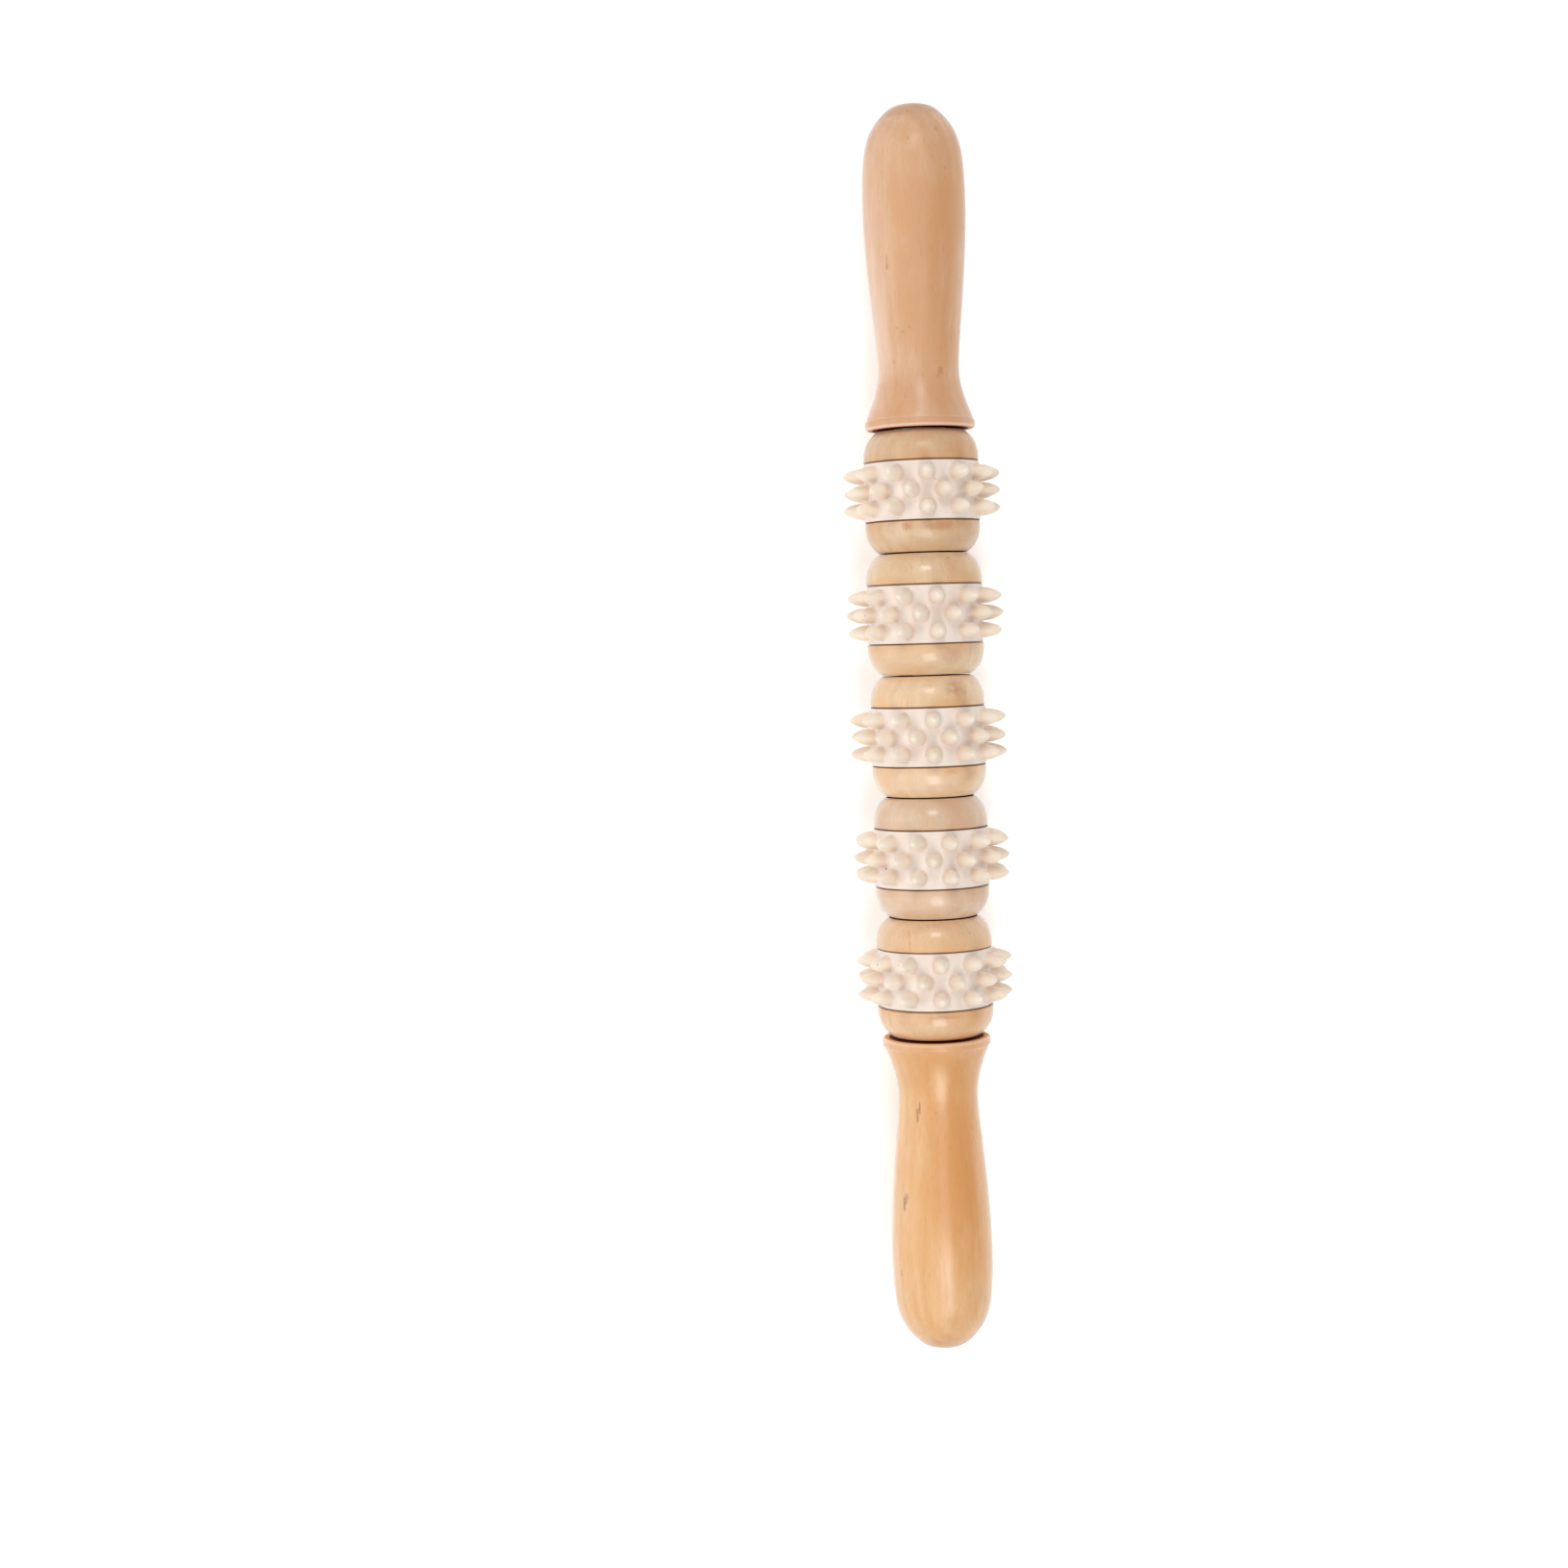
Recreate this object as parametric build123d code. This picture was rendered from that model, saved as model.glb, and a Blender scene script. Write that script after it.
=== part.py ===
from build123d import *
import math
import os

# Foot massage roller: a wooden stick with five spiked rollers between two turned handles.
# Frame: millimetres, X along the stick, Z up, origin on the axle at the middle of the stick.
# The stick is straight and lies with its axle level. Roller 1 is at the +X end, beside the right handle.

# Whole object
total_length = 270.0
roller_count = 5
roller_pitch = 26.256

# Axle and fits
axle_diameter = 6.0
axle_chamfer = 0.6
socket_depth = 28.0
socket_end_room = 1.0
running_clearance = 0.05  # radial, between the axle and a spool's bore

# Gaps along the axle
gap_between_rollers = 0.3
gap_at_handles = 0.5

# End washers, shims in the gap between a handle and the roller beside it
washer_thickness = 0.3
washer_diameter = 12.0

# Wooden spools, each a little different because they are turned by hand, roller 1 first
spool_radii = [12.4, 12.65, 12.42, 12.45, 12.68]
spool_end_radius = 9.6
shoulder_length = 5.4
groove_radius = 10.4
groove_width = 12.75
groove_edge_chamfer = 0.25
end_face_edge_round = 0.3

# Spiked rubber rings
ring_radius = 12.45
ring_side_room = 0.05
ring_edge_round = 0.25
spikes_per_row = 12
row_spacing = 3.7
spike_tip_radius = 0.42
spike_tip_reach = 17.05  # from the axle's centre to the point of a spike
spike_root_depth = 1.0

# A spike's side narrows in steps: (distance back from its point, radius), from the ring upwards
spike_side = [(4.6, 1.72), (2.9, 1.6), (2.0, 1.4), (1.2, 1.03)]

# Angle at which each roller has come to rest, from +Z towards -Y, for its outer rows
roller_rest_angles = [2.0, 8.0, 1.5, 14.0, 2.5]

# Handles, stations measured from the rim face and radii at those stations
rim_radius = 11.88
rim_width = 1.95
rim_front_round = 0.65
rim_back_round = 0.6
neck_station = 13.0
neck_radius = 8.8
belly_station = 46.5
belly_radius = 11.13
dome_station = 56.5
dome_radius = 10.8

# Each handle's step down behind its rim, and the slope of the flare that starts there
crease_depth = {"left": 0.42, "right": 0.26}
flare_slope = {"left": 0.39, "right": 0.345}

# Worked out from the values above
spool_length = roller_pitch - gap_between_rollers
rollers_half_length = (roller_count * roller_pitch - gap_between_rollers) / 2
handle_face = rollers_half_length + gap_at_handles
handle_length = total_length / 2 - handle_face
axle_length = 2 * (handle_face + socket_depth)
axle_radius = axle_diameter / 2
row_angle = 360 / spikes_per_row
row_places = [(-row_spacing, 0.0), (0.0, row_angle / 2), (row_spacing, 0.0)]


def turned(outline):
    """Turn a closed outline, drawn in the XY plane above the X axis, into a solid about X."""
    return revolve(make_face(outline), axis=Axis.X)


def handle_outline(crease, slope):
    """Outline of a handle that starts at X = 0 and runs towards +X, with its axle socket."""
    inside_rim = rim_radius - rim_front_round
    face = Line((0, axle_radius), (0, inside_rim))
    front_round = CenterArc((rim_front_round, inside_rim), rim_front_round, 180, -90)
    band_end = rim_width - rim_back_round
    band = Line(front_round @ 1, (band_end, rim_radius))
    back_turn = math.degrees(math.acos(1 - crease / rim_back_round))
    back_round = CenterArc((band_end, rim_radius - rim_back_round), rim_back_round, 90, -back_turn)
    flare = Spline(
        [back_round @ 1, (neck_station, neck_radius)],
        tangents=[(1, -slope), (1, 0)],
    )
    swell = Spline(
        [flare @ 1, (19.7, 9.22), (31.0, 10.3), (belly_station, belly_radius), (dome_station, dome_radius)],
        tangents=[(1, 0), (1, -0.09)],
    )
    dome = Spline(
        [swell @ 1, (64.0, 8.67), (67.0, 6.25), (handle_length, 0)],
        tangents=[(1, -0.09), (0, -1)],
    )
    socket_bottom = socket_depth + socket_end_room
    centre = Line(dome @ 1, (socket_bottom, 0))
    bottom = Line(centre @ 1, (socket_bottom, axle_radius))
    wall = Line(bottom @ 1, face @ 0)
    return [face, front_round, band, back_round, flare, swell, dome, centre, bottom, wall]


def make_handle(side, name):
    """A turned handle at the +X end (side = 1) or at the -X end (side = -1)."""
    handle = Pos(handle_face, 0, 0) * turned(handle_outline(crease_depth[name], flare_slope[name]))
    if side < 0:
        handle = mirror(handle, about=Plane.YZ)
    return handle


def make_axle():
    """The rod that all rollers turn on, with a chamfer at each end."""
    rod = Rot(0, 90, 0) * Cylinder(axle_radius, axle_length)
    return chamfer(rod.edges().filter_by(GeomType.CIRCLE), axle_chamfer)


def make_washer(side):
    """A shim that lies against a handle's rim face."""
    blank = Cylinder(washer_diameter / 2, washer_thickness)
    washer = blank - Cylinder(axle_radius, washer_thickness)
    return Pos(side * (handle_face - washer_thickness / 2), 0, 0) * Rot(0, 90, 0) * washer


def shoulder_curve(spool_radius):
    """The rounded shoulder from the spool's end face to its full radius, as one arc."""
    drop = spool_radius - spool_end_radius
    arc_radius = (shoulder_length**2 + drop**2) / (2 * drop)
    end = -spool_length / 2
    sweep = math.degrees(math.asin(shoulder_length / arc_radius))
    return CenterArc((end + shoulder_length, spool_radius - arc_radius), arc_radius, 90 + sweep, -sweep)


def make_spool(spool_radius):
    """One roller's wood, centred on the origin: two shoulders, a groove between and a bore."""
    half_groove = groove_width / 2
    lip = groove_edge_chamfer
    bore_radius = axle_radius + running_clearance
    shoulder = shoulder_curve(spool_radius)
    side = [
        Line((-spool_length / 2, bore_radius), shoulder @ 0),
        shoulder,
        Line(shoulder @ 1, (-half_groove - lip, spool_radius)),
        Line((-half_groove - lip, spool_radius), (-half_groove, spool_radius - lip)),
        Line((-half_groove, spool_radius - lip), (-half_groove, groove_radius)),
        Line((-half_groove, groove_radius), (0, groove_radius)),
        Line((0, groove_radius), (0, bore_radius)),
        Line((0, bore_radius), (-spool_length / 2, bore_radius)),
    ]
    half = turned(side)
    end_edge = half.edges().filter_by(GeomType.CIRCLE).group_by(Axis.X)[0].sort_by(SortBy.RADIUS)[-1]
    half = fillet(end_edge, end_face_edge_round)
    return half + mirror(half, about=Plane.YZ)


def make_spike():
    """One spike along +Z, from inside the ring to its rounded point."""
    tip_centre = spike_tip_reach - spike_tip_radius
    side = [(radius, spike_tip_reach - back) for back, radius in spike_side]
    foot = (side[0][0], ring_radius - spike_root_depth)
    last_radius, last_height = side[-1]
    below = math.atan2(last_height - tip_centre, last_radius)
    meets = below + math.acos(spike_tip_radius / math.hypot(last_radius, last_height - tip_centre))
    shoulder = (spike_tip_radius * math.cos(meets), tip_centre + spike_tip_radius * math.sin(meets))
    outline = [
        Polyline((0, foot[1]), foot, *side, shoulder),
        CenterArc((0, tip_centre), spike_tip_radius, math.degrees(meets), 90 - math.degrees(meets)),
        Line((0, spike_tip_reach), (0, foot[1])),
    ]
    return Rot(90, 0, 0) * revolve(make_face(outline), axis=Axis.Y)


def make_ring():
    """One rubber ring centred on the origin, its outer rows with a spike at +Z."""
    width = groove_width - 2 * ring_side_room
    band = Rot(0, 90, 0) * (Cylinder(ring_radius, width) - Cylinder(groove_radius, width))
    outer_edges = band.edges().filter_by(GeomType.CIRCLE).filter_by(lambda e: e.radius > groove_radius + 0.1)
    band = fillet(outer_edges, ring_edge_round)
    spike = make_spike()
    spikes = [
        Pos(place, 0, 0) * Rot(offset + number * row_angle, 0, 0) * spike
        for place, offset in row_places
        for number in range(spikes_per_row)
    ]
    return band + spikes


def save(shape, name):
    """Write one sub-part under its node's name."""
    shape.label = name
    export_step(shape, f"parts/{name}.step")


os.makedirs("parts", exist_ok=True)

for side, name in ((-1, "left"), (1, "right")):
    save(make_handle(side, name), f"{name}_handle")
    save(make_washer(side), f"end_washer_{name}")

save(make_axle(), "axle_rod")

ring = make_ring()
for number, (spool_radius, rest_angle) in enumerate(zip(spool_radii, roller_rest_angles), start=1):
    place = Pos(((roller_count + 1) / 2 - number) * roller_pitch, 0, 0) * Rot(rest_angle, 0, 0)
    save(place * make_spool(spool_radius), f"roller_spool_{number}")
    save(place * ring, f"spiked_ring_{number}")
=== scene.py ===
import math
from collections import namedtuple

import bmesh
import bpy
import numpy as np
from mathutils import Matrix, Vector


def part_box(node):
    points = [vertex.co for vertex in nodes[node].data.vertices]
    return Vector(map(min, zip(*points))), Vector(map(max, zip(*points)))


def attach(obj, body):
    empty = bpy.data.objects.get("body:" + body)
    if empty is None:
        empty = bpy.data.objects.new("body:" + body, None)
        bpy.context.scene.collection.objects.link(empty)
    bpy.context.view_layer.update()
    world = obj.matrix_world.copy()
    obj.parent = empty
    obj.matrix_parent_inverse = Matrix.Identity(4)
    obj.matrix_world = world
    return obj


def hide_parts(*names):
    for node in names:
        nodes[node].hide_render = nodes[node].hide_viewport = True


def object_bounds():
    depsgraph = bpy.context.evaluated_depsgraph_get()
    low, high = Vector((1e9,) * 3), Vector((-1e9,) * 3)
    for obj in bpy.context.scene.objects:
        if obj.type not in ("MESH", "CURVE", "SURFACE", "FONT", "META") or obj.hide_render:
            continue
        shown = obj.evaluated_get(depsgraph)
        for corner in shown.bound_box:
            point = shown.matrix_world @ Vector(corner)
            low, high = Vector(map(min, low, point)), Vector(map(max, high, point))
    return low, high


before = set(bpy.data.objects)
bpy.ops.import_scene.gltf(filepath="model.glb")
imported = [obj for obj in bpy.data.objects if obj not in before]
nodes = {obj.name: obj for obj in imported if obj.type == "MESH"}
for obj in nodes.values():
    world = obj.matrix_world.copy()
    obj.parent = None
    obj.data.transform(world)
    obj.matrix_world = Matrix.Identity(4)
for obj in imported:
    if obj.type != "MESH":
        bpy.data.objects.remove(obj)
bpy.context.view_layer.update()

# Everything is in metres, in the frame's axes: X along the stick, Z up, origin on the axle.
MM = 0.001

# Spiked rings
RING_NODES = sorted(name for name in nodes if name.startswith("spiked_ring_"))
SPIKES_PER_ROW = 12
SPIKE_ROWS = (-1, 0, 1)
ROW_SPACING = 3.7 * MM
RING_RADIUS = 12.45 * MM
GROOVE_RADIUS = 10.4 * MM
RING_EDGE_ROUND = 0.3 * MM
RING_SEAT = 0.02 * MM  # how far a ring stays off the bottom of its groove
SPIKE_HEIGHT = 4.6 * MM
SPIKE_SIDE = ((0, 4.6), (0.6, 4.6), (1.75, 2.9), (1.72, 0))  # Bezier points: radius, height, in mm
SPIKE_FOOT = 2.15 * MM
SPIKE_FILLET_TOP = 0.55 * MM
SPIKE_LEAN = 0.07 * MM
HEIGHT_SPREAD = 0.012

# How finely the rings are meshed. Patches of ring that share a side have the same steps along it.
CURVE_STEPS = 300
FILLET_STEPS = 59
PROFILE_STEPS = 17
SKIRT_STEPS = 3
EDGE_STEPS = 14
SLANT_STEPS = 10
SIDE_STEPS = 8
NOTCH_STEPS = 2
ROUND_STEPS = 5
WELD = 0.002 * MM

# Handles and spools
RIM_WIDTH = 1.95 * MM
SOCKET_CLEAR = 4.0 * MM  # a radius between a handle's socket and its outside
GROOVE_HALF_WIDTH = 6.375 * MM
HANDLE_GAP_SHADE_REACH = 10.4 * MM  # the radius out to which a handle's face is painted dark: raw end grain, and painted shade for the gap beside the roller
# the radius out to which a roller's end faces are painted dark as gap shade, which covers all of them
ROLLER_GAP_SHADE_REACH = 13.0 * MM

# Camera, above the stick and looking down, with the stick's +X end at the top of the picture
CAMERA_PLACE = (0.02287, 0.03171, 0.51668)
CAMERA_TILT = 0.0629
CAMERA_ROLL = 0.03119
CAMERA_LENS = 54.572
CAMERA_SENSOR = 36.0


def link(obj):
    """Put a new object into the scene."""
    bpy.context.scene.collection.objects.link(obj)
    return obj


# ---------------------------------------------------------------- spiked rings


def bezier(points, share):
    """Points on a Bezier curve of any degree."""
    points = [np.outer(np.ones_like(share), point) for point in points]
    while len(points) > 1:
        points = [a + (b - a) * share[:, None] for a, b in zip(points, points[1:])]
    return points[0]


def spike_profile(height):
    """Radius and height at even steps along a spike's side, from its point to the end of its fillet."""
    side = bezier(SPIKE_SIDE, np.linspace(0, 1, CURVE_STEPS)) * MM * (1, height / SPIKE_HEIGHT)
    wall = side[side[:, 1] > SPIKE_FILLET_TOP]
    fillet = bezier((wall[-1], (wall[-1][0], 0), (SPIKE_FOOT, 0)), np.linspace(0, 1, FILLET_STEPS + 1)[1:])
    line = np.concatenate([wall, fillet])
    run = np.concatenate([[0], np.cumsum(np.hypot(*np.diff(line, axis=0).T))])
    steps = np.linspace(0, run[-1], PROFILE_STEPS)
    return np.interp(steps, run, line[:, 0]), np.interp(steps, run, line[:, 1])


def cell_outline(corners, counts):
    """Points along a closed outline, each side cut into its own count of equal steps."""
    points = []
    for place, count in enumerate(counts):
        start, end = np.array(corners[place]), np.array(corners[(place + 1) % len(corners)])
        points += [start + (end - start) * step / count for step in range(count)]
    return np.array(points)


def spike_cells(half_width):
    """The outline of the patch of ring around a spike, for each row, as (along the arc, along the axle)."""
    half = math.pi * RING_RADIUS / SPIKES_PER_ROW
    notch = (ROW_SPACING**2 - half**2) / (2 * ROW_SPACING)
    peak = (ROW_SPACING**2 + half**2) / (2 * ROW_SPACING)
    edge = half_width - RING_EDGE_ROUND - ROW_SPACING
    middle = cell_outline(
        [(half, -notch), (half, notch), (0, peak), (-half, notch), (-half, -notch), (0, -peak)],
        [NOTCH_STEPS, SLANT_STEPS, SLANT_STEPS] * 2,
    )
    top = cell_outline(
        [(half, -notch), (half, edge), (-half, edge), (-half, -notch), (0, -peak)],
        [SIDE_STEPS, EDGE_STEPS, SIDE_STEPS, SLANT_STEPS, SLANT_STEPS],
    )
    bottom = top[::-1] * (1, -1)
    return {-1: bottom, 0: middle, 1: top}


def on_ring(arc, along, rise, angle):
    """A point on or above the ring's base surface. arc runs around it, measured from the given angle."""
    across = RING_RADIUS * math.sin(arc / RING_RADIUS)
    out = RING_RADIUS * math.cos(arc / RING_RADIUS) + rise
    sine, cosine = math.sin(angle), math.cos(angle)
    return Vector((along, -out * sine - across * cosine, out * cosine - across * sine))


def add_spike(mesh, outline, angle, along, height, lean):
    """One spike with the patch of ring around it."""
    profile_radius, profile_rise = spike_profile(height)
    count = len(outline)
    start = math.atan2(outline[0][1], outline[0][0])
    turns = [start + 2 * math.pi * step / count for step in range(count)]
    rims = []
    for radius, rise in zip(profile_radius[1:], profile_rise[1:]):
        swing = (rise / height) ** 1.5
        rims.append([
            on_ring(
                radius * math.cos(turn) + lean[0] * swing,
                along + radius * math.sin(turn) + lean[1] * swing,
                rise,
                angle,
            )
            for turn in turns
        ])
    for step in range(1, SKIRT_STEPS + 1):
        share = step / SKIRT_STEPS
        foot = profile_radius[-1]
        rims.append([
            on_ring(
                (1 - share) * foot * math.cos(turn) + share * point[0],
                along + (1 - share) * foot * math.sin(turn) + share * point[1],
                0,
                angle,
            )
            for turn, point in zip(turns, outline)
        ])
    tip = mesh.verts.new(on_ring(lean[0], along + lean[1], height, angle))
    rows = [[mesh.verts.new(point) for point in rim] for rim in rims]
    for place in range(count):
        following = (place + 1) % count
        mesh.faces.new((tip, rows[0][place], rows[0][following]))
        for inner, outer in zip(rows, rows[1:]):
            mesh.faces.new((inner[place], outer[place], outer[following], inner[following]))


def add_ring_sides(mesh, half_width, angle):
    """The rounded edges, side faces and bore of a ring, which close it."""
    columns = SPIKES_PER_ROW * EDGE_STEPS
    section = [
        (half_width - RING_EDGE_ROUND * (1 - math.sin(t)), RING_RADIUS - RING_EDGE_ROUND * (1 - math.cos(t)))
        for t in np.linspace(0, math.pi / 2, ROUND_STEPS)
    ]
    section.append((half_width, GROOVE_RADIUS + RING_SEAT))
    section += [(-along, radius) for along, radius in reversed(section)]
    rings = []
    for along, radius in section:
        rings.append([
            mesh.verts.new((along, -radius * math.sin(angle + turn), radius * math.cos(angle + turn)))
            for turn in (math.pi / SPIKES_PER_ROW + 2 * math.pi * k / columns for k in range(columns))
        ])
    for first, second in zip(rings, rings[1:]):
        for place in range(columns):
            following = (place + 1) % columns
            mesh.faces.new((first[place], first[following], second[following], second[place]))


def rest_angle(node):
    """The angle, from +Z towards -Y, of a spike in the ring's outer rows, read from its CAD solid."""
    vertices = np.array([v.co for v in nodes[node].data.vertices])
    middle = (vertices[:, 0].min() + vertices[:, 0].max()) / 2
    outer_row = vertices[np.abs(vertices[:, 0] - middle - ROW_SPACING) < 0.5 * MM]
    reach = np.hypot(outer_row[:, 1], outer_row[:, 2])
    tips = outer_row[reach > reach.max() - 0.02 * MM]
    turn = np.arctan2(-tips[:, 1], tips[:, 2]) * SPIKES_PER_ROW
    return math.atan2(np.sin(turn).mean(), np.cos(turn).mean()) / SPIKES_PER_ROW


def make_ring(node):
    """A rubber ring with filleted, slightly uneven spikes, in the place of its CAD solid."""
    low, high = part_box(node)
    half_width = (high.x - low.x) / 2
    base_angle = rest_angle(node)
    chance = np.random.default_rng(100 + int(node[-1]))
    mesh = bmesh.new()
    cells = spike_cells(half_width)
    for row in SPIKE_ROWS:
        for number in range(SPIKES_PER_ROW):
            offset = 0.5 if row == 0 else 0
            angle = base_angle + (number + offset) * 2 * math.pi / SPIKES_PER_ROW
            height = SPIKE_HEIGHT * (1 + HEIGHT_SPREAD * chance.uniform(-1, 1))
            lean = chance.normal(0, SPIKE_LEAN, 2)
            add_spike(mesh, cells[row], angle, row * ROW_SPACING, height, lean)
    add_ring_sides(mesh, half_width, base_angle)
    bmesh.ops.remove_doubles(mesh, verts=mesh.verts, dist=WELD)
    bmesh.ops.recalc_face_normals(mesh, faces=mesh.faces)
    data = bpy.data.meshes.new(node + "_soft")
    mesh.to_mesh(data)
    mesh.free()
    data.shade_smooth()
    ring = link(bpy.data.objects.new(node.replace("spiked_ring", "soft_ring"), data))
    ring.location.x = (low.x + high.x) / 2
    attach(ring, "roller_" + node[-1])
    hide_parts(node)
    return ring


rings = [make_ring(node) for node in RING_NODES]

# ---------------------------------------------------------------- shader tools

Tones = namedtuple("Tones", "light dark warm")
Tint = namedtuple("Tint", "colour strength")
# A rim's band is a tint of the wood; its front and crease tints are painted highlights
Rim = namedtuple("Rim", "front band crease")
Gloss = namedtuple("Gloss", "weight roughness")

# A patch of another colour on a piece. Its core is the share of its size that has the full strength.
Mark = namedtuple("Mark", "place size strength colour core", defaults=[0.4])


def srgb(red, green, blue):
    """A linear colour from 0-255 display values."""
    def linear(value):
        value /= 255
        return value / 12.92 if value <= 0.04045 else ((value + 0.055) / 1.055) ** 2.4
    return (linear(red), linear(green), linear(blue), 1.0)


class Graph:
    """One material's node tree."""

    def __init__(self, name):
        self.material = bpy.data.materials.new(name)
        self.material.use_nodes = True
        self.tree = self.material.node_tree
        self.shader = self.tree.nodes["Principled BSDF"]
        self.place = self.tree.nodes.new("ShaderNodeTexCoord").outputs["Object"]

    def fill(self, node, inputs):
        """Set a node's inputs, by a link where the value is another node's output."""
        for key, value in inputs.items():
            if isinstance(value, bpy.types.NodeSocket):
                self.tree.links.new(value, node.inputs[key])
            else:
                node.inputs[key].default_value = value
        return node

    def node(self, kind, inputs=None, **settings):
        node = self.tree.nodes.new("ShaderNode" + kind)
        for key, value in settings.items():
            setattr(node, key, value)
        return self.fill(node, inputs or {})

    def moved(self, location=(0, 0, 0), scale=(1, 1, 1), vector=None):
        values = {"Vector": vector or self.place, "Location": location, "Scale": scale}
        return self.node("Mapping", values).outputs[0]

    def noise(self, vector, scale=1.0, detail=2.0, roughness=0.5):
        values = {"Vector": vector, "Scale": scale, "Detail": detail, "Roughness": roughness}
        return self.node("TexNoise", values).outputs["Fac"]

    def ranged(self, value, low, high, to_low=0.0, to_high=1.0, smooth=False):
        values = {"Value": value, "From Min": low, "From Max": high, "To Min": to_low, "To Max": to_high}
        kind = "SMOOTHSTEP" if smooth else "LINEAR"
        return self.node("MapRange", values, interpolation_type=kind).outputs["Result"]

    def math(self, operation, first, second=0.0):
        return self.node("Math", {0: first, 1: second}, operation=operation).outputs[0]

    def vector_math(self, operation, first, second=(0, 0, 0)):
        return self.node("VectorMath", {0: first, 1: second}, operation=operation).outputs["Vector"]

    def length(self, vector):
        return self.node("VectorMath", {0: vector}, operation="LENGTH").outputs["Value"]

    def mix(self, share, first, second):
        node = self.tree.nodes.new("ShaderNodeMix")
        node.data_type = "RGBA"
        return self.fill(node, {0: share, 6: first, 7: second}).outputs[2]

    def bump(self, height, strength, distance):
        values = {"Height": height, "Strength": strength, "Distance": distance}
        return self.node("Bump", values).outputs["Normal"]

    def along(self):
        """The place along X."""
        return self.node("SeparateXYZ", {0: self.place}).outputs["X"]

    def reach(self):
        """The distance from the axle's line."""
        return self.length(self.vector_math("MULTIPLY", self.place, (0, 1, 1)))


def add_mark(g, colour, mark):
    """A soft-edged patch, ragged at its border, around a point on the piece."""
    location = [-c / s for c, s in zip(mark.place, mark.size)]
    near = g.moved(location, scale=[1 / s for s in mark.size])
    ragged = g.node("TexNoise", {"Vector": near, "Scale": 1.7, "Detail": 3.0}).outputs["Color"]
    pushed = g.vector_math("SUBTRACT", ragged, (0.5, 0.5, 0.5))
    pushed = g.vector_math("MULTIPLY", pushed, (1.5, 1.5, 1.5))
    far = g.length(g.vector_math("ADD", near, pushed))
    return g.mix(g.ranged(far, mark.core, 1.2, mark.strength, 0.0, smooth=True), colour, mark.colour)


# ---------------------------------------------------------------- wood

# The wood's textures, in cells per metre along the grain and across it
BLOTCHES = (60, 110, 110)
STREAKS = (70, 700, 700)
FIBRES = (330, 3300, 3300)
PORES = (420, 2300, 2300)
TURNING_MARKS = (3600, 60, 60)

RING_GAP = 2.8 * MM  # between two growth rings
RELIEF_DEPTH = 0.03 * MM
PORE_COLOUR = srgb(176, 120, 78)
# Painted shade on the spool's chamfer next to a ring, darkening the seam between wood and rubber
GROOVE_LIP_SHADE = srgb(152, 100, 54)
# Raw end grain, painted darker as the shade in the narrow gaps between pieces
END_GRAIN_AND_GAP_SHADE = (srgb(150, 68, 32), srgb(116, 48, 20))
SHEEN_TINT = (0.72, 0.9, 1.0, 1)


def grain_tone(g, streak, fibre, seed, pith):
    """How dark the grain is, from the growth rings around a pith beside the piece, streaks and fibres."""
    growth = g.node(
        "TexWave",
        {"Vector": g.moved((0.3 * seed, -pith[0], -pith[1]), scale=(0.05, 1, 1)),
         "Scale": 2 * math.pi / (20 * RING_GAP), "Distortion": 6.0, "Detail": 2.0, "Detail Scale": 0.35},
        wave_type="RINGS", rings_direction="X", wave_profile="SIN",
    ).outputs["Fac"]
    tone = g.math("ADD", g.ranged(growth, 0.0, 1.0, 0.24, 0.46), g.ranged(streak, 0.3, 0.7, -0.16, 0.16))
    return g.math("ADD", tone, g.ranged(fibre, 0.3, 0.7, -0.2, 0.2))


def outside_groove(g, groove):
    """The distance along X from a groove, which runs from one place along X to another."""
    from_middle = g.math("ABSOLUTE", g.math("SUBTRACT", g.along(), sum(groove) / 2))
    return g.math("SUBTRACT", from_middle, (groove[1] - groove[0]) / 2)


def rim_tints(g, colour, face, rim):
    """Tints on a rim that starts at the given place along X: its band, and painted highlights along the
    groove behind the band and on the rounded edge that faces the rollers.
    """
    back = g.math("ABSOLUTE", g.math("SUBTRACT", g.along(), face))
    off_crease = g.math("ABSOLUTE", g.math("SUBTRACT", back, RIM_WIDTH))
    # The band is the wood's tint; the crease and front stretches are painted highlights
    stretches = (
        (back, RIM_WIDTH - 0.15 * MM, RIM_WIDTH, rim.band),
        (off_crease, 0.08 * MM, 0.26 * MM, rim.crease),
        (back, 0.3 * MM, 0.7 * MM, rim.front),
    )
    for distance, full, none, tint in stretches:
        share = g.ranged(distance, full, none, tint.strength, 0.0, smooth=True)
        colour = g.mix(share, colour, tint.colour)
    return colour


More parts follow.
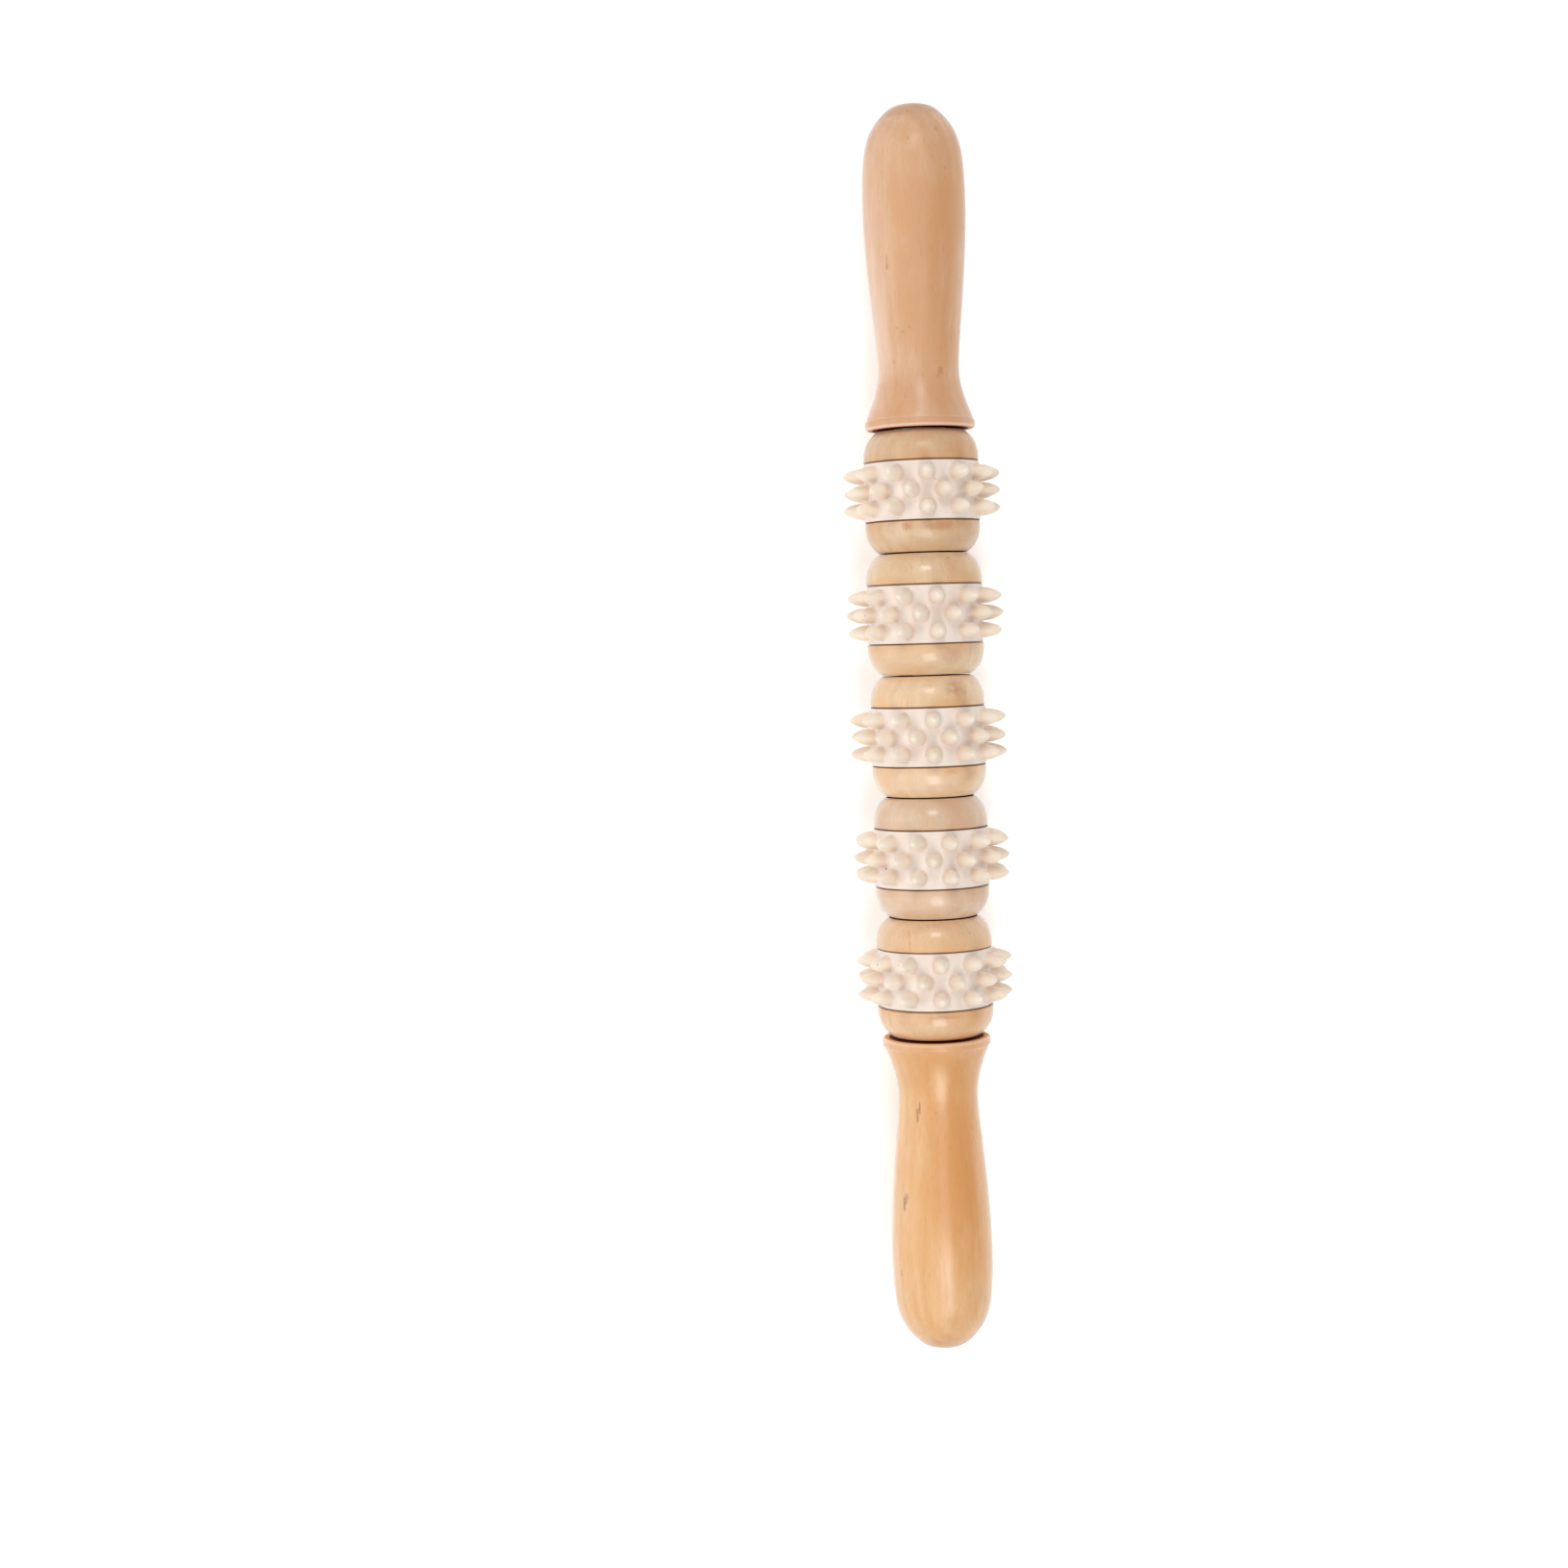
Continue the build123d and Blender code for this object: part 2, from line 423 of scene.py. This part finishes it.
def wood(name, seed, tones, pith, gloss, relief, marks, groove=None, rim=None, face=None):
    """Clear-finished turned wood, with its grain along X."""
    g = Graph(name)
    grain = g.moved((0.31 * seed, 0.17 * seed, 0.23 * seed))
    blotch = g.noise(g.moved(scale=BLOTCHES, vector=grain), detail=2.0)
    streak = g.noise(g.moved(scale=STREAKS, vector=grain), detail=2.0, roughness=0.6)
    fibre = g.noise(g.moved(scale=FIBRES, vector=grain), detail=3.0, roughness=0.65)
    pore = g.noise(g.moved(scale=PORES, vector=grain), detail=0.0)

    colour = g.mix(grain_tone(g, streak, fibre, seed, pith), tones.light, tones.dark)
    warmth = g.ranged(blotch, 0.42, 0.7, 0.0, 0.8, smooth=True)
    if groove:
        outside = outside_groove(g, groove)
        near = g.ranged(outside, 0.0, 3.2 * MM, 0.75, 0.0, smooth=True)
        warmth = g.math("ADD", warmth, g.math("MULTIPLY", near, g.ranged(blotch, 0.3, 0.6, 0.3, 1.0)))
    colour = g.mix(warmth, colour, tones.warm)
    for mark in marks:
        colour = add_mark(g, colour, mark)
    if groove:
        # Painted shade: the chamfer beside the groove is darkened so the seam reads as a shadowed gap
        lip_shade = g.ranged(outside, 0.08 * MM, 0.3 * MM, 0.8, 0.0, smooth=True)
        colour = g.mix(lip_shade, colour, GROOVE_LIP_SHADE)
    if rim:
        colour = rim_tints(g, colour, face, rim)
    colour = g.mix(g.ranged(pore, 0.7, 0.84, 0.0, 0.2, smooth=True), colour, PORE_COLOUR)

    turning = g.noise(g.moved(scale=TURNING_MARKS), detail=2.0, roughness=0.6)
    height = g.math("ADD", g.math("MULTIPLY", fibre, 0.4), g.math("MULTIPLY", turning, 0.8))
    normal = g.bump(height, relief, RELIEF_DEPTH)
    g.fill(g.shader, {
        "Base Color": colour,
        "Roughness": g.ranged(streak, 0.3, 0.7, 0.46, 0.54),
        "Normal": normal,
        "Coat Normal": normal,
        "Coat Weight": gloss.weight,
        "Coat Roughness": gloss.roughness,
        "Specular IOR Level": 0.3,
        "Sheen Weight": 1.0,
        "Sheen Tint": SHEEN_TINT,
        "Sheen Roughness": 0.25,
    })
    return g.material


def end_grain_and_gap_shade(name, seed, light, light_from):
    """Raw, tanned end grain around the axle, painted darker as the shade in the narrow gaps between pieces,
    and light wood further out than the given radius.
    """
    g = Graph(name)
    grain = g.noise(g.moved((0, 0.02 * seed, 0)), 1900.0, 3.0, 0.7)
    # Painted shade: the end faces are darkened so that the narrow gaps between pieces read as shadow
    tanned_and_shaded = g.mix(g.ranged(grain, 0.3, 0.7), *END_GRAIN_AND_GAP_SHADE)
    outer = g.ranged(g.reach(), light_from - 0.15 * MM, light_from + 0.15 * MM, smooth=True)
    g.fill(g.shader, {
        "Base Color": g.mix(outer, tanned_and_shaded, light),
        "Roughness": g.ranged(grain, 0.3, 0.7, 0.8, 0.95),
        "Normal": g.bump(grain, 0.3, 0.02 * MM),
        "Specular IOR Level": 0.2,
    })
    return g.material


# ---------------------------------------------------------------- rubber and steel

RUBBER_BASE = (srgb(243, 231, 220), srgb(239, 223, 210))
RUBBER_SPIKE = (srgb(243, 230, 213), srgb(239, 222, 202))
# Painted shade in the hollows at the spikes' feet
RUBBER_FOOT_SHADE = srgb(236, 204, 176)
# Painted shade along the ring's sides, at the seams with the wood
RUBBER_SEAM_SHADE = srgb(128, 76, 36)
RUBBER_SPECK = srgb(150, 104, 80)
STEEL = (srgb(170, 170, 168), srgb(205, 205, 202))


def rubber(name, seed, half_width):
    """Soft moulded rubber: pale around the ring, ivory on the spikes, with painted shade at the spikes' feet
    and along the ring's edges at the seams with the wood.
    """
    g = Graph(name)
    reach = g.reach()
    spread = g.moved((0.1 * seed, 0, 0))
    cloud = g.ranged(g.noise(spread, 220.0, 3.0), 0.35, 0.65)
    grit = g.noise(spread, 2600.0, 2.0)
    speck = g.noise(spread, 650.0, 0.0)
    rise = g.ranged(reach, RING_RADIUS + 0.15 * MM, RING_RADIUS + 1.7 * MM, smooth=True)
    # Painted shade: the spikes' feet are tinted darker and warmer
    foot = g.math("MULTIPLY", g.ranged(reach, RING_RADIUS, RING_RADIUS + 0.4 * MM, smooth=True),
                  g.ranged(reach, RING_RADIUS + 0.8 * MM, RING_RADIUS + 2.2 * MM, 0.4, 0.0, smooth=True))
    aside = g.math("ABSOLUTE", g.along())
    # Painted shade: the ring's sides are darkened where they meet the wood
    edge = g.ranged(aside, half_width - 0.24 * MM, half_width - 0.08 * MM, 0.0, 0.9, smooth=True)

    colour = g.mix(rise, g.mix(cloud, *RUBBER_BASE), g.mix(cloud, *RUBBER_SPIKE))
    colour = g.mix(foot, colour, RUBBER_FOOT_SHADE)
    colour = g.mix(edge, colour, RUBBER_SEAM_SHADE)
    colour = g.mix(g.ranged(speck, 0.835, 0.87, 0.0, 0.7, smooth=True), colour, RUBBER_SPECK)
    g.fill(g.shader, {
        "Base Color": colour,
        "Roughness": g.ranged(grit, 0.3, 0.7, 0.42, 0.52),
        "Normal": g.bump(grit, 0.15, 0.02 * MM),
        "Subsurface Weight": 0.4,
        "Subsurface Radius": (1.0, 1.0, 1.0),
        "Subsurface Scale": 1 * MM,
    })
    return g.material


def steel(name):
    """Plain turned steel, brushed around the axle."""
    g = Graph(name)
    lines = g.noise(g.moved(scale=(9000, 60, 60)), detail=2.0)
    g.fill(g.shader, {
        "Base Color": g.mix(lines, *STEEL),
        "Metallic": 1.0,
        "Roughness": g.ranged(lines, 0.3, 0.7, 0.28, 0.42),
        "Normal": g.bump(lines, 0.1, 0.01 * MM),
    })
    return g.material


# ---------------------------------------------------------------- the look of each piece

BROWN_MARK = srgb(140, 94, 70)
RUST_SPOT = srgb(188, 126, 84)
SMALL_KNOT = srgb(192, 132, 76)
BLACK_SPECK = srgb(70, 42, 30)
PALE_WOOD = srgb(243, 216, 188)
DARK_WOOD = srgb(206, 146, 98)
DULL_SPOOL = Gloss(0.4, 0.24)
GLOSSY_SPOOL = Gloss(0.7, 0.19)
SPOOL_RELIEF = 0.12


def in_metres(mark, place):
    """A mark whose size is given in millimetres, at a place in metres."""
    return mark._replace(place=place, size=[length * MM for length in mark.size])


def paint(obj, material, end_material=None, ends=()):
    """Give an object its material, and its flat faces at the given places along X another one."""
    obj.data.materials.clear()
    obj.data.materials.append(material)
    if end_material:
        obj.data.materials.append(end_material)
        for face in obj.data.polygons:
            at_end = any(abs(face.center.x - end) < 0.05 * MM for end in ends)
            face.material_index = int(at_end and abs(face.normal.x) > 0.99)


def on_handle(node, along, turn):
    """A point on a handle, from its share of the length after the rim and its angle from +Z towards +Y."""
    low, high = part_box(node)
    start, end = (low.x, high.x) if high.x > 0 else (high.x, low.x)
    place = start + (end - start) * along
    vertices = np.array([v.co for v in nodes[node].data.vertices])
    vertices = vertices[np.hypot(vertices[:, 1], vertices[:, 2]) > SOCKET_CLEAR]
    vertices = vertices[np.argsort(vertices[:, 0])]
    radius = np.interp(place, vertices[:, 0], np.hypot(vertices[:, 1], vertices[:, 2]))
    return (place, radius * math.sin(turn), radius * math.cos(turn))


def paint_handle(node, name, seed, tones, pith, gloss, relief, rim, marks):
    """A handle's wood. The place of each mark is (share of the length from the rim, angle from +Z to +Y)."""
    placed = [in_metres(mark, on_handle(node, *mark.place)) for mark in marks]
    face = min(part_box(node), key=lambda corner: abs(corner.x)).x
    body = wood(name, seed, tones, pith, gloss, relief, placed, rim=rim, face=face)
    paint(nodes[node], body, end_grain_and_gap_shade(name + "_end", seed, tones.light, HANDLE_GAP_SHADE_REACH), [face])


def paint_spool(number, tones, pith, marks):
    """A spool's wood. The place of each mark is in millimetres from the spool's middle."""
    node = f"roller_spool_{number}"
    low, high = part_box(node)
    middle = (low.x + high.x) / 2
    placed = [in_metres(mark, (middle + mark.place[0] * MM, mark.place[1] * MM, mark.place[2] * MM))
              for mark in marks]
    walls = (middle - GROOVE_HALF_WIDTH, middle + GROOVE_HALF_WIDTH)
    gloss = DULL_SPOOL if number == 1 else GLOSSY_SPOOL
    seed = 10 + number
    body = wood(f"roller_wood_{number}", seed, tones, pith, gloss, SPOOL_RELIEF, placed, groove=walls)
    ends = end_grain_and_gap_shade(f"roller_wood_{number}_end", number, tones.light, ROLLER_GAP_SHADE_REACH)
    paint(nodes[node], body, ends, [low.x, high.x])


paint_handle(
    "right_handle",
    name="pale_handle",
    seed=1,
    tones=Tones(srgb(226, 184, 148), srgb(205, 155, 115), srgb(216, 162, 116)),
    pith=(-0.021, -0.03),
    gloss=Gloss(0.36, 0.26),
    relief=0.12,
    # The front and crease tints are painted highlights
    rim=Rim(
        front=Tint(srgb(244, 214, 194), 0.7),
        band=Tint(srgb(214, 156, 116), 0.5),
        crease=Tint(srgb(236, 196, 168), 0.25),
    ),
    marks=[
        # A warmer wood tone on the -Y side, partly real and partly painted shade on that side
        Mark((0.6, -0.6), (32, 6.5, 9), 0.58, srgb(208, 150, 98), 0.1),
        # Painted reflections of the white surroundings along the +Y and -Y edges
        Mark((0.3, 1.25), (34, 3.5, 8), 0.5, srgb(246, 218, 198), 0.1),
        Mark((0.43, -1.35), (14, 2.5, 6), 0.35, srgb(240, 212, 196), 0.1),
        # Painted shade on the dome's two sides and at its tip
        Mark((0.9, 1.3), (8, 5, 8), 0.5, srgb(206, 160, 126), 0.1),
        Mark((0.9, -1.2), (8, 4, 8), 0.35, srgb(200, 146, 100), 0.1),
        Mark((0.99, 0), (5, 14, 14), 0.6, srgb(176, 124, 86), 0.1),
        # A warmer tone behind the rim
        Mark((0.09, 0), (7, 40, 40), 0.35, srgb(206, 148, 104), 0.1),
        # A dash, a small knot and specks
        Mark((0.49, 0.67), (0.9, 0.3, 0.8), 0.65, RUST_SPOT),
        Mark((0.512, 0.67), (1.3, 0.25, 0.8), 0.4, RUST_SPOT),
        Mark((0.303, 0.23), (0.4, 0.35, 0.6), 0.5, RUST_SPOT),
        Mark((0.29, 0.4), (0.35, 0.35, 0.6), 0.45, RUST_SPOT),
        Mark((0.303, 0.54), (0.4, 0.4, 0.6), 0.4, RUST_SPOT),
        Mark((0.202, 0.68), (0.5, 0.3, 0.6), 0.45, RUST_SPOT),
        Mark((0.17, -0.5), (1.1, 0.8, 0.9), 0.6, SMALL_KNOT),
        Mark((0.155, -0.42), (0.5, 0.4, 0.9), 0.4, SMALL_KNOT),
        Mark((0.87, 0.14), (0.5, 0.35, 0.6), 0.5, RUST_SPOT),
        Mark((0.962, 0.2), (0.5, 0.3, 0.8), 0.6, RUST_SPOT),
        Mark((0.9, -0.5), (0.9, 0.5, 0.8), 0.4, RUST_SPOT),
        Mark((0.78, -0.6), (0.35, 0.35, 0.8), 0.45, RUST_SPOT),
    ],
)
paint_handle(
    "left_handle",
    name="honey_handle",
    seed=2,
    tones=Tones(srgb(236, 190, 140), srgb(216, 158, 98), srgb(228, 168, 104)),
    pith=(0.018, -0.034),
    gloss=Gloss(0.8, 0.27),
    relief=0.8,
    # The front and crease tints are painted highlights
    rim=Rim(
        front=Tint(srgb(246, 210, 180), 0.55),
        band=Tint(srgb(226, 168, 124), 0.5),
        crease=Tint(srgb(246, 200, 164), 0.2),
    ),
    marks=[
        # Broad warm wood tones along the sides
        Mark((0.4, -0.38), (32, 8.5, 9), 0.8, srgb(217, 148, 80), 0.2),
        Mark((0.19, 0.35), (7, 4, 6), 0.35, srgb(222, 152, 84), 0.1),
        # Painted shade on the dome's two sides and at its tip
        Mark((0.88, -1.2), (9, 4, 8), 0.4, srgb(204, 150, 98), 0.1),
        Mark((0.88, 1.3), (9, 4, 8), 0.3, srgb(216, 164, 112), 0.1),
        Mark((0.99, 0), (5, 14, 14), 0.6, srgb(186, 126, 72), 0.1),
        # A warmer tone behind the rim
        Mark((0.08, 0), (7, 40, 40), 0.55, srgb(216, 154, 90), 0.1),
        # A painted highlight on the neck
        Mark((0.12, 0.05), (5, 2.4, 5), 0.35, srgb(240, 196, 142), 0.1),
        # Two crooked brown marks, each of three strokes, and specks
        Mark((0.203, 0.54), (1.3, 0.22, 1.2), 0.65, BROWN_MARK),
        Mark((0.219, 0.575), (0.8, 0.6, 1.2), 0.5, BROWN_MARK),
        Mark((0.239, 0.6), (1.4, 0.25, 1.2), 0.6, BROWN_MARK),
        Mark((0.49, 0.84), (0.9, 0.5, 0.9), 0.45, BROWN_MARK),
        Mark((0.505, 0.88), (1.1, 0.6, 0.9), 0.6, BROWN_MARK),
        Mark((0.525, 0.9), (1.2, 0.3, 0.9), 0.6, BROWN_MARK),
        Mark((0.222, 0.13), (0.4, 0.4, 0.8), 0.3, RUST_SPOT),
        Mark((0.24, 0.24), (0.3, 0.3, 0.8), 0.25, RUST_SPOT),
        Mark((0.74, 1.0), (0.9, 0.35, 0.8), 0.45, RUST_SPOT),
    ],
)

paint_spool(
    1,
    Tones(srgb(221, 187, 150), srgb(201, 161, 122), srgb(214, 165, 118)),
    pith=(0.012, -0.024),
    marks=[
        Mark((5.6, -1.0, 12.3), (1.7, 7, 4), 0.55, srgb(206, 146, 104), 0.1),
        Mark((8.5, -6.0, 9.8), (3, 5, 5), 0.5, DARK_WOOD, 0.1),
        Mark((-8.6, 5.0, 11.3), (3, 7, 5), 0.4, PALE_WOOD, 0.1),
        Mark((-7.6, 4.0, 11.8), (1.3, 1.2, 3), 0.65, RUST_SPOT, 0.1),
        Mark((-7.6, -3.5, 12), (1.5, 5, 3), 0.6, RUST_SPOT, 0.1),
    ],
)
paint_spool(
    2,
    Tones(srgb(232, 202, 166), srgb(210, 172, 133), srgb(222, 178, 131)),
    pith=(-0.02, -0.018),
    marks=[
        Mark((11.6, -4.6, 9.5), (0.35, 0.35, 0.8), 0.9, BLACK_SPECK),
        Mark((-8.4, -4.5, 11.5), (2.6, 4, 3), 0.55, RUST_SPOT, 0.05),
        Mark((9.5, -5.0, 10.5), (3, 4.5, 4), 0.35, DARK_WOOD, 0.1),
        Mark((-8.6, 0, 12), (3, 14, 14), 0.3, PALE_WOOD, 0.1),
    ],
)
paint_spool(
    3,
    Tones(srgb(239, 208, 171), srgb(219, 180, 139), srgb(229, 184, 136)),
    pith=(0.022, -0.016),
    marks=[
        Mark((10.2, -5.5, 9.6), (2.4, 2.6, 3), 0.65, RUST_SPOT, 0.05),
        Mark((8.0, -6.0, 10.5), (3.0, 4, 3), 0.4, RUST_SPOT, 0.05),
        Mark((-7.4, -4.0, 11.7), (0.9, 2, 3), 0.4, RUST_SPOT, 0.05),
        Mark((-9.0, -7.5, 9), (3, 3, 4), 0.3, srgb(206, 150, 104), 0.1),
        Mark((-9.0, 0, 12), (3, 14, 14), 0.35, PALE_WOOD, 0.1),
    ],
)
paint_spool(
    4,
    Tones(srgb(227, 199, 170), srgb(207, 172, 140), srgb(216, 174, 138)),
    pith=(-0.015, -0.026),
    marks=[
        Mark((-7.2, -7.5, 9.8), (1.2, 2.5, 3), 0.4, RUST_SPOT, 0.1),
        Mark((-9.0, -4.0, 11), (3, 3.5, 3), 0.25, RUST_SPOT, 0.1),
        Mark((-9.0, 0, 12), (3, 14, 14), 0.35, PALE_WOOD, 0.1),
    ],
)
paint_spool(
    5,
    Tones(srgb(234, 197, 156), srgb(213, 168, 125), srgb(226, 174, 125)),
    pith=(0.004, -0.03),
    marks=[
        Mark((8.5, 5.9, 11.1), (3.5, 0.3, 3), 0.4, srgb(206, 148, 96)),
        Mark((-7.4, -0.5, 12.2), (0.9, 4, 3), 0.5, RUST_SPOT, 0.1),
    ],
)

for ring, node in zip(rings, RING_NODES):
    low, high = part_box(node)
    paint(ring, rubber("ring_rubber_" + node[-1], int(node[-1]), (high.x - low.x) / 2))

axle_steel = steel("axle_steel")
for name in ("axle_rod", "end_washer_left", "end_washer_right"):
    paint(nodes[name], axle_steel)

# ---------------------------------------------------------------- floor, light, camera

FLOOR_SIZE = 8
FLOOR_WHITE = (0.9, 0.9, 0.9, 1)
FLOOR_GLOW = 0.36
WHITE = (1, 1, 1, 1)
SKY_RIGHT, SKY_LEFT = 0.31, 0.65  # the sky's brightness as the camera sees its two sides
SKY_FADE = 0.9  # the share of the sky over which its brightness changes

# Name, place, point that it shines at, width, height and watts
SOFTBOXES = (
    ("side_left", (0.0, 0.85, 0.32), (0, 0, 0), 0.8, 0.5, 1.2),
    ("end_right", (0.58, -0.02, 0.64), (0.06, 0, 0), 0.26, 0.26, 1.8),
    ("end_left", (-0.39, -0.06, 0.66), (-0.05, 0, 0), 0.3, 0.45, 2.3),
)


def make_floor():
    """A plain pale floor under the rollers."""
    bpy.ops.mesh.primitive_plane_add(size=FLOOR_SIZE, location=(0, 0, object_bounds()[0][2]))
    floor = bpy.context.object
    floor.name = "floor"
    g = Graph("floor")
    g.fill(g.shader, {
        "Base Color": FLOOR_WHITE,
        "Roughness": 0.9,
        "Emission Color": WHITE,
        "Emission Strength": FLOOR_GLOW,
    })
    floor.data.materials.append(g.material)


def make_sky():
    """A white sky, brighter on the +Y side than on the -Y side."""
    world = bpy.data.worlds.new("studio")
    world.use_nodes = True
    sky = world.node_tree
    across = sky.nodes.new("ShaderNodeSeparateXYZ")
    fade = sky.nodes.new("ShaderNodeMapRange")
    settings = {"From Min": -SKY_FADE, "From Max": SKY_FADE, "To Min": SKY_RIGHT, "To Max": SKY_LEFT}
    for key, value in settings.items():
        fade.inputs[key].default_value = value
    background = sky.nodes["Background"]
    background.inputs["Color"].default_value = WHITE
    sky.links.new(sky.nodes.new("ShaderNodeTexCoord").outputs["Generated"], across.inputs[0])
    sky.links.new(across.outputs["Y"], fade.inputs["Value"])
    sky.links.new(fade.outputs["Result"], background.inputs["Strength"])
    bpy.context.scene.world = world


def make_softbox(name, place, aim, width, height, power):
    """A rectangular lamp that shines at a point."""
    data = bpy.data.lights.new(name, "AREA")
    data.shape = "RECTANGLE"
    data.size = width
    data.size_y = height
    data.energy = power
    lamp = link(bpy.data.objects.new(name, data))
    lamp.location = place
    lamp.rotation_euler = (Vector(aim) - Vector(place)).to_track_quat("-Z", "Y").to_euler()


def make_camera():
    """The camera, turned so that +X is up in the picture, then tilted and rolled a little."""
    data = bpy.data.cameras.new("camera")
    data.sensor_width = CAMERA_SENSOR
    data.lens = CAMERA_LENS
    camera = link(bpy.data.objects.new("camera", data))
    turned = Matrix(((0, -1, 0), (1, 0, 0), (0, 0, 1))).transposed()
    turned = turned @ Matrix.Rotation(-CAMERA_TILT, 3, "X") @ Matrix.Rotation(-CAMERA_ROLL, 3, "Z")
    camera.matrix_world = Matrix.Translation(CAMERA_PLACE) @ turned.to_4x4()
    bpy.context.scene.camera = camera


bpy.context.scene.view_settings.view_transform = "Standard"
make_floor()
make_sky()
for softbox in SOFTBOXES:
    make_softbox(*softbox)
make_camera()
